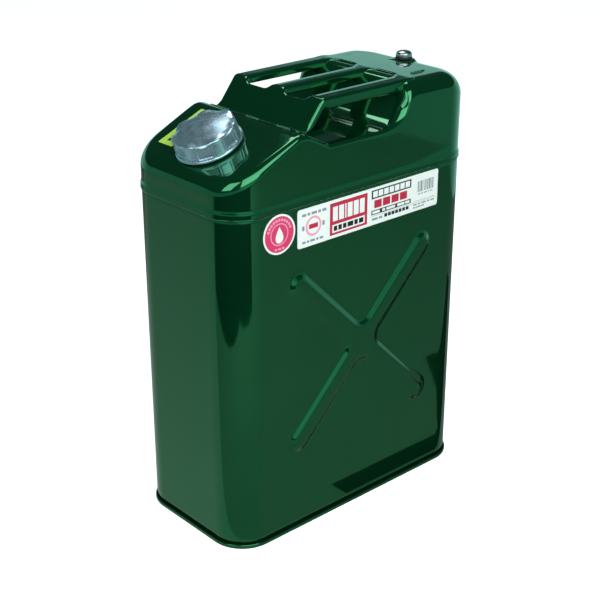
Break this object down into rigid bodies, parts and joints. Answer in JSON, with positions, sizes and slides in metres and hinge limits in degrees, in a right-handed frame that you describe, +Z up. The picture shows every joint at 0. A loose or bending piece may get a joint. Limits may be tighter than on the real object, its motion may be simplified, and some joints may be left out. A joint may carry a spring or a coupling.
{
  "type": "steel petrol can",
  "caption": "Upright pressed-steel petrol can with a sloping shoulder, grip-sided screw cap, slotted carrying handle and air screw.",
  "frame": {"origin": "on the floor, under the middle of the can", "axes": "+Z up; +X from the cap end to the air-screw end; the stickers' wide face looks to -Y"},
  "size_m": [0.349, 0.18, 0.4826],
  "materials": {
    "green_enamel": "deep gloss baked enamel",
    "cap_plating": "bright plated casting, slightly satin",
    "screw_plating": "polished nickel plate",
    "plain_steel": "turned steel",
    "black_rubber": "matt moulded rubber",
    "white_label": "printed film sticker",
    "pink_label": "printed film sticker",
    "yellow_label": "printed film sticker"
  },
  "bodies": {
    "can": {"tub": "green_enamel", "bottom_plate": "green_enamel", "top_shell": "green_enamel", "handle": "green_enamel", "mouth_neck": "plain_steel", "mouth_backing_ring": "plain_steel", "air_screw_boss": "plain_steel", "main_label": "white_label", "round_label": "pink_label", "caution_label": "yellow_label"},
    "cap_seal": {"cap_gasket": "black_rubber"},
    "cap": {"cap": "cap_plating"},
    "air_seal": {"air_screw_seal": "black_rubber"},
    "air_screw": {"air_screw": "screw_plating"}
  },
  "joints": [
    {"name": "cap_rise", "type": "slide", "parent": "can", "child": "cap_seal", "axis": [-0.3875, 0, 0.9219], "range_m": [0, 0.0121]},
    {"name": "cap_turn", "type": "hinge", "parent": "cap_seal", "child": "cap", "pos_m": [-0.1285, 0, 0.429], "axis": [-0.3875, 0, 0.9219], "range_deg": [0, 1080]},
    {"name": "air_screw_rise", "type": "slide", "parent": "can", "child": "air_seal", "axis": [0, 0, 1], "range_m": [0, 0.0051]},
    {"name": "air_screw_turn", "type": "hinge", "parent": "air_seal", "child": "air_screw", "pos_m": [0.1485, 0, 0.473], "axis": [0, 0, 1], "range_deg": [0, 1440]}
  ],
  "couplings": [
    {"joint": "cap_rise", "follows": "cap_turn", "m_per_rad": 0.00063662},
    {"joint": "air_screw_rise", "follows": "air_screw_turn", "m_per_rad": 0.00019894}
  ]
}
